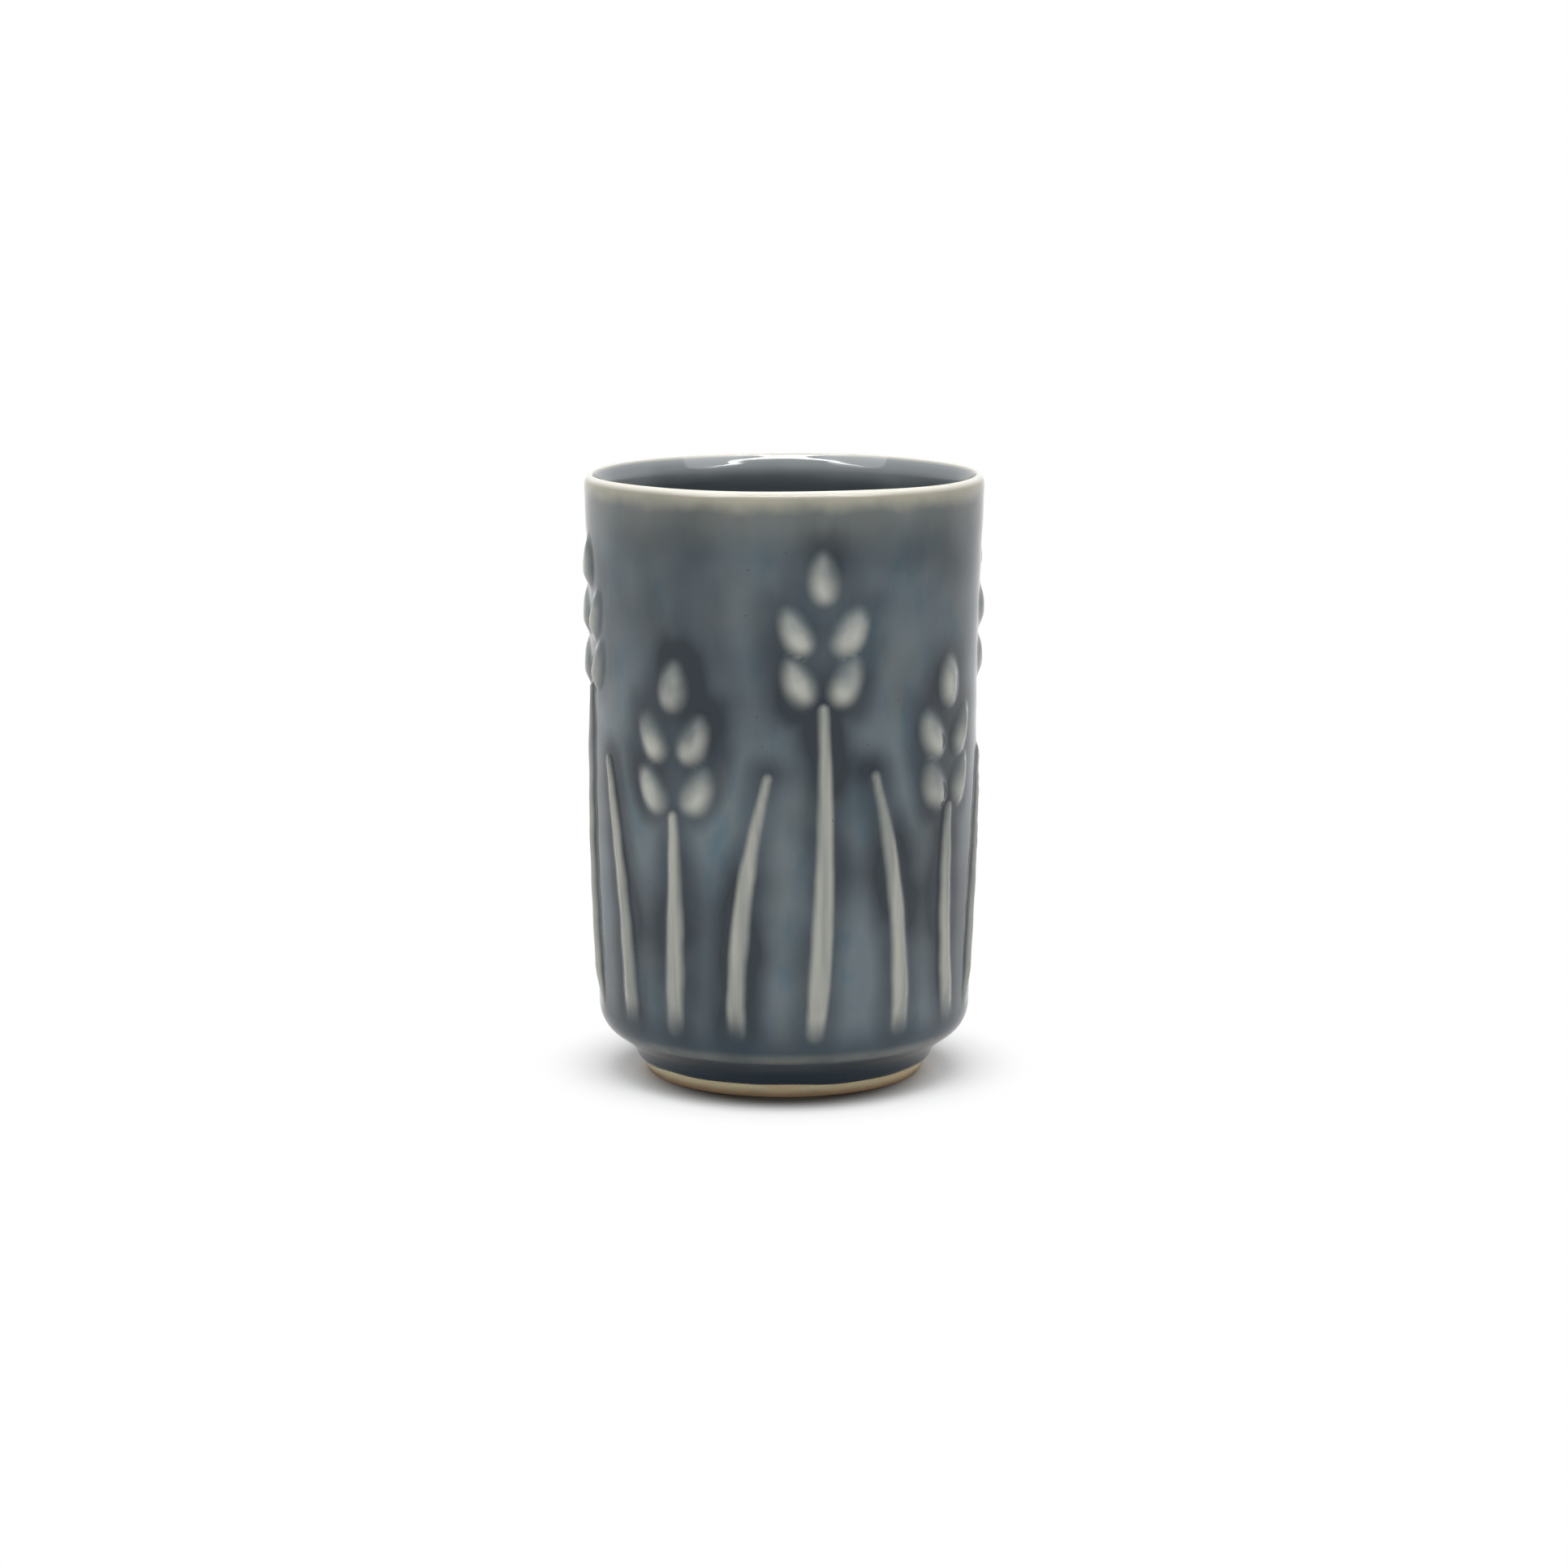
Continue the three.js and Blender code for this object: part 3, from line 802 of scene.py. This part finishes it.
def glaze_material(name):
    g = Graph(name)
    noise = {key: g.noise(*values) for key, values in GLAZE_NOISE.items()}
    rim, up = g.attribute("rim"), g.attribute("up")
    waver = g.swing(noise["waver"], EDGE_WAVER)
    long_gap = g.plus(g.attribute("long_gap"), waver)
    grain_gap = g.plus(g.attribute("grain_gap"), waver)
    # Open glaze in patches, over dark pools round the trails
    drift = g.swing(noise["runs"], POOL_DRIFT)
    by_long = g.step(g.plus(g.attribute("long_near"), drift), *POOL_BY_LONG)
    by_grain = g.step(g.plus(g.attribute("grain_near"), drift), *POOL_BY_GRAIN)
    tone = g.soft_min(by_long, by_grain, POOL_JOIN)
    tone = g.times(tone, g.step(up, *UPPER_WALL))
    tone = g.plus(tone, g.swing(noise["streak"], STREAK_TONE))
    tone = g.plus(tone, g.swing(noise["cloud"], CLOUD_TONE), True)
    open_glaze = g.mix(g.step(noise["blue"], *BLUE_PATCH), OPEN, BLUE)
    open_glaze = g.mix(g.step(noise["dull"], *DULL_PATCH), open_glaze, DULL)
    colour = g.mix(tone, POOL, open_glaze)
    # Slip: brushed stems and blades that sink into the glaze at their foot, and mottled grains
    sink = g.plus(up, g.swing(noise["streak"], SINK_DRIFT))
    stem_edge = g.times(g.step(long_gap, *STEM_EDGE), g.step(sink, *TRAIL_SINKS))
    trail = g.mix(g.step(noise["brushed"], *BRUSH_MARK), THIN_SLIP, STEM_SLIP)
    colour = g.mix(stem_edge, colour, trail)
    side = g.plus(g.attribute("outer_side"), g.swing(noise["mottle"], SIDE_MOTTLE))
    dab = g.mix(g.step(side, *DAB_SIDE), DAB, SLIP)
    cover = g.step(noise["cover"], *GRAIN_COVER)
    colour = g.mix(g.times(g.step(grain_gap, *GRAIN_EDGE), cover), colour, dab)
    # Deep on the heel and the foot, where it breaks pale over the heel's lower edge
    colour = g.mix(g.step(up, *DEEP_HEEL), colour, DEEP)
    colour = g.mix(g.step(up, *DARK_FOOT), colour, DARK)
    arris = g.times(g.step(up, *ARRIS_TOP), g.step(up, *ARRIS_FOOT))
    colour = g.mix(g.times(arris, g.step(noise["runs"], *ARRIS_BREAK)), colour, WARM)
    # Thin and warm towards the lip
    warm = g.times(g.step(rim, *WARM_RIM), g.step(noise["streak"], *WARM_STREAK))
    colour = g.mix(warm, colour, WARM)
    band = g.plus(rim, g.swing(noise["band"], BAND_DRIFT))
    colour = g.mix(g.step(band, *TAN_BAND), colour, TAN)
    colour = g.mix(g.step(rim, *CREAM_LIP), colour, CREAM)
    # Fine grain and iron specks
    colour = g.mix(g.step(noise["fine"], *FINE_GRAIN), colour, MIDDLE_GREY, "OVERLAY")
    colour = g.mix(g.times(g.specks(*GLAZE_SPECKS), GLAZE_SPECK_SHARE), colour, IRON)
    rough = g.step(noise["gloss"], *GLAZE_GLOSS)
    wave = g.bump(noise["wave"], GLAZE_WAVE)
    skin = g.bump(noise["skin"], GLAZE_SKIN, under=wave)
    return g.finish(colour, rough, skin, GLAZE_IOR)


# The liner's noise, and its layers by their distance below the lip's crest
LINER_RINGS = (160, 2, 0.5, (0.15, 0.15, 2.2))
LINER_DRIFT_NOISE, LINER_DRIFT = (55, 2, 0.5), 5.0
RING_TONE = (0.3, 0.7)
LOW_LINER = (17.0, 48.0)
PAINTED_SHEEN_BAND = (6.6, 1.2)
PALE_BEVEL = (1.9, 0.3)
CREAM_CREST = (0.9, 0.2)
LINER_GLOSS = (0.3, 0.7, 0.03, 0.07)


def liner_material():
    g = Graph("liner_glaze_finish")
    rim = g.attribute("rim")
    rings = g.noise(*LINER_RINGS)
    tone = g.step(rings, *RING_TONE)
    colour = g.mix(tone, LINER, LINER_RING)
    low = g.mix(tone, LINER_LOW, LINER_LOW_RING)
    colour = g.mix(g.step(rim, *LOW_LINER), colour, low)
    # Painted sheen: a wavering band below the lip is lightened where the inside's glossy reflection shows
    drift = g.swing(g.noise(*LINER_DRIFT_NOISE), LINER_DRIFT)
    colour = g.mix(g.step(g.plus(rim, drift), *PAINTED_SHEEN_BAND), colour, PAINTED_SHEEN)
    # Paler still on the bevel under the crest: thinner glaze near the lip, with painted sheen over it
    colour = g.mix(g.step(rim, *PALE_BEVEL), colour, PALE)
    colour = g.mix(g.step(rim, *CREAM_CREST), colour, CREAM)
    colour = g.mix(g.times(g.specks(*LINER_SPECKS), LINER_SPECK_SHARE), colour, IRON)
    rough = g.step(g.noise(*GLAZE_NOISE["gloss"]), *LINER_GLOSS)
    return g.finish(colour, rough, g.bump(rings, LINER_WAVE), GLAZE_IOR)


# The clay's noise, and its layers. The toasted flashing and painted contact shade at the foot go by the
# height above the table, in metres
CLAY_BLOTCH = (140, 3, 0.6)
CLAY_GRIT_NOISE = (5200, 2, 0.7)
CLAY_RING_NOISE = (900, 2, 0.5, (0.05, 0.05, 1))
BLOTCH_TONE = (0.3, 0.7)
TOAST_AND_SHADE_DRIFT = 0.0016
TOASTED_AND_SHADED_FOOT = (0.0021, 0.0002, 0.0, 0.85)
GRIT_TONE = (0.35, 0.75, 0.0, 0.35)
CLAY_GLOSS = (0.2, 0.8, 0.68, 0.86)


def clay_material():
    g = Graph("bare_clay_finish")
    split = g.add("ShaderNodeSeparateXYZ")
    g.put(split.inputs[0], g.place)
    blotch = g.noise(*CLAY_BLOTCH)
    # The lowest two millimetres of the ring turn brown: toasted flashing, darkened further as painted
    # contact shade where the ring meets the table
    high = g.plus(split.outputs[2], g.swing(blotch, TOAST_AND_SHADE_DRIFT))
    colour = g.mix(g.step(blotch, *BLOTCH_TONE), BUFF, OCHRE)
    colour = g.mix(g.step(high, *TOASTED_AND_SHADED_FOOT), colour, TOASTED_AND_SHADED)
    grit = g.noise(*CLAY_GRIT_NOISE)
    colour = g.mix(g.step(grit, *GRIT_TONE), colour, GRIT)
    colour = g.mix(g.times(g.specks(*CLAY_SPECKS), CLAY_SPECK_SHARE), colour, CLAY_SPECK)
    rough = g.step(grit, *CLAY_GLOSS)
    rings = g.bump(g.noise(*CLAY_RING_NOISE), CLAY_RINGS)
    return g.finish(colour, rough, g.bump(grit, CLAY_GRAIN, under=rings), CLAY_IOR)


# The pieces. The outside's tones go by these distances, in millimetres
rim_field = np.repeat(below_crest[:, None], COLUMNS, 1)
fields = {
    "long_gap": long_gap,
    "grain_gap": grain_gap,
    "long_near": long_near,
    "grain_near": grain_near,
    "outer_side": outer_side,
    "up": np.repeat(profile[:, 1:], COLUMNS, 1),
    "rim": rim_field,
}
fields = {key: after_move(values) for key, values in fields.items()}

outer = grid_piece("outer_glaze_skin", fields, quads[:crest_row][quad_trail[:crest_row] < 0])
outer.data.materials.append(glaze_material("outer_glaze_finish"))
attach(outer, ROOT)
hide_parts("outer_glaze")

slip_material = glaze_material("slip_trail_finish")
for number, name in enumerate(trail_names):
    slip = grid_piece(name + "_skin", fields, quads[quad_trail == number])
    slip.data.materials.append(slip_material)
    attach(slip, ROOT)
    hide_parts(name)

fan = quads[-1, :, :3].copy()
fan[:, 2] = index[-1, 0]
liner = grid_piece("liner_glaze_skin", {"rim": rim_field}, quads[crest_row:-1], fan)
liner.data.materials.append(liner_material())
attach(liner, ROOT)
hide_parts("liner_glaze")

clay = turned_piece("thrown_clay_body", clay_profile(), CLAY_COLUMNS)
clay.data.materials.append(clay_material())
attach(clay, ROOT)
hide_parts("clay_body")


# The floor, in metres: a white sweep, with a painted shadow where the cup stands, a little forward of its
# foot
FLOOR_LOW, FLOOR_HIGH = (-1.6, -0.62), (1.6, 1.8)
SWEEP = ((0.87, 0.87, 0.87), (0.9, 0.9, 0.9))
SWEEP_CLOUD = (9, 3, 0.6)
SWEEP_GRAIN, SWEEP_GRAIN_HEIGHT = 1500, 0.00002
SWEEP_ROUGH = 0.9
SWEEP_IOR = 1.2
PAINTED_SHADOW_CENTRE = (0, -0.0085, 0)
PAINTED_SHADOW_REACH = (0.0265, 0.0155)
PAINTED_SHADOW_TONE = (0.055, 0.05, 0.045)
PAINTED_SHADOW_BOUNCE = 0.55
SEEN_WHITE = (0.026, 0.043)
MIRRORED_WHITE = (0.1, 0.3)


def floor_material():
    g = Graph("white_sweep")
    path = g.add("ShaderNodeLightPath").outputs
    tone = g.mix(g.noise(*SWEEP_CLOUD), *SWEEP)
    # Painted shadow: the sweep turns dark round the cup's foot and a little forward of it. Camera rays see
    # all of it, and other rays, which light the foot, see a share
    dull = g.times(g.step(g.distance(PAINTED_SHADOW_CENTRE), *PAINTED_SHADOW_REACH), PAINTED_SHADOW_BOUNCE)
    dull = g.times(dull, g.step(path["Is Camera Ray"], 0, 1, 1, 1 / PAINTED_SHADOW_BOUNCE))
    tone = g.mix(dull, tone, PAINTED_SHADOW_TONE)
    grain = g.bump(g.noise(SWEEP_GRAIN), SWEEP_GRAIN_HEIGHT)
    g.finish(tone, SWEEP_ROUGH, grain, SWEEP_IOR)
    # Away from the cup and its shadow the sweep is seen as plain white
    away = g.distance((0, 0, 0))
    seen = g.times(path["Is Camera Ray"], g.step(away, *SEEN_WHITE))
    mirrored = g.times(path["Is Glossy Ray"], g.step(away, *MIRRORED_WHITE))
    white = g.add("ShaderNodeEmission")
    either = g.add("ShaderNodeMixShader")
    g.put(either.inputs[0], g.math("MAXIMUM", seen, mirrored))
    g.put(either.inputs[1], g.shader.outputs[0])
    g.put(either.inputs[2], white.outputs[0])
    g.put(g.tree.nodes["Material Output"].inputs["Surface"], either.outputs[0])
    return g.material


def floor_piece():
    (left, front), (right, back) = FLOOR_LOW, FLOOR_HIGH
    points = [(left, front, 0), (right, front, 0), (right, back, 0), (left, back, 0)]
    mesh = bpy.data.meshes.new("floor")
    mesh.from_pydata(points, [], [(0, 1, 2, 3)])
    mesh.materials.append(floor_material())
    return linked("floor", mesh)


floor_piece()


# Lamps: place, target, width and height in metres, and radiance
LAMPS = {
    "left": ((-0.75, -0.55, 0.95), (0, 0, 0.05), 0.8, 0.8, 2.15),
    "right": ((0.75, -0.55, 0.95), (0, 0, 0.05), 0.8, 0.8, 2.15),
    "top": ((0, 0.15, 1.3), (0, 0.05, 0), 1.13, 0.9, 1.9),
    "front_strip": ((0, -0.75, 0.85), (0, 0, 0.1), 2.2, 0.045, 20),
}


def softbox(name, place, target, width, tall, radiance):
    light = bpy.data.lights.new(name, "AREA")
    light.shape = "ELLIPSE"
    light.size, light.size_y = width, tall
    light.energy = radiance * math.pi * (math.pi / 4 * width * tall)
    lamp = linked(name, light)
    lamp.location = place
    way = np.array(target, float) - np.array(place, float)
    pitch = math.atan2(math.hypot(way[0], way[1]), -way[2])
    lamp.rotation_euler = (pitch, 0, math.atan2(way[1], way[0]) - math.pi / 2)
    lamp.visible_camera = False


for name, setting in LAMPS.items():
    softbox(name, *setting)

# The world: white to the camera, plain light on the cup, brighter towards the back and in the gloss
WHITE = (1, 1, 1, 1)
BACK_BEGINS, BACK_ENDS, BACK_LIGHT = 0.7, 0.74, 1.0
ROOM_LIGHT, ROOM_IN_GLOSS = 0.5, 0.85

world = bpy.data.worlds.new("studio")
bpy.context.scene.world = world
world.use_nodes = True
tree = world.node_tree
lit = tree.nodes["Background"]
lit.inputs["Color"].default_value = WHITE
seen = tree.nodes.new("ShaderNodeBackground")
seen.inputs["Color"].default_value = WHITE
seen.inputs["Strength"].default_value = 1.0
path = tree.nodes.new("ShaderNodeLightPath").outputs
room = tree.nodes.new("ShaderNodeMapRange")
room.inputs["To Min"].default_value = ROOM_LIGHT
room.inputs["To Max"].default_value = ROOM_IN_GLOSS
way = tree.nodes.new("ShaderNodeTexCoord")
split = tree.nodes.new("ShaderNodeSeparateXYZ")
fade = tree.nodes.new("ShaderNodeMapRange")
fade.inputs["From Min"].default_value = BACK_BEGINS
fade.inputs["From Max"].default_value = BACK_ENDS
fade.inputs["To Max"].default_value = BACK_LIGHT
either = tree.nodes.new("ShaderNodeMixShader")
for source, socket in (
    (way.outputs["Generated"], split.inputs[0]),
    (split.outputs[1], fade.inputs["Value"]),
    (path["Is Glossy Ray"], room.inputs["Value"]),
    (room.outputs[0], fade.inputs["To Min"]),
    (fade.outputs[0], lit.inputs["Strength"]),
    (path["Is Camera Ray"], either.inputs[0]),
    (lit.outputs[0], either.inputs[1]),
    (seen.outputs[0], either.inputs[2]),
    (either.outputs[0], tree.nodes["World Output"].inputs["Surface"]),
):
    tree.links.new(source, socket)

# The camera, in metres, looking down by its tilt
CAMERA_PLACE = (0, -0.68524, 0.169498)
CAMERA_TILT = 10.0612
CAMERA_LENS = 95.98
CAMERA_SENSOR = 36
CAMERA_NEAR = 0.01

camera_data = bpy.data.cameras.new("camera")
camera_data.lens = CAMERA_LENS
camera_data.sensor_width = CAMERA_SENSOR
camera_data.clip_start = CAMERA_NEAR
camera = linked("camera", camera_data)
camera.location = CAMERA_PLACE
camera.rotation_euler = (math.radians(90 - CAMERA_TILT), 0, 0)
bpy.context.scene.camera = camera
bpy.context.scene.view_settings.view_transform = "Standard"
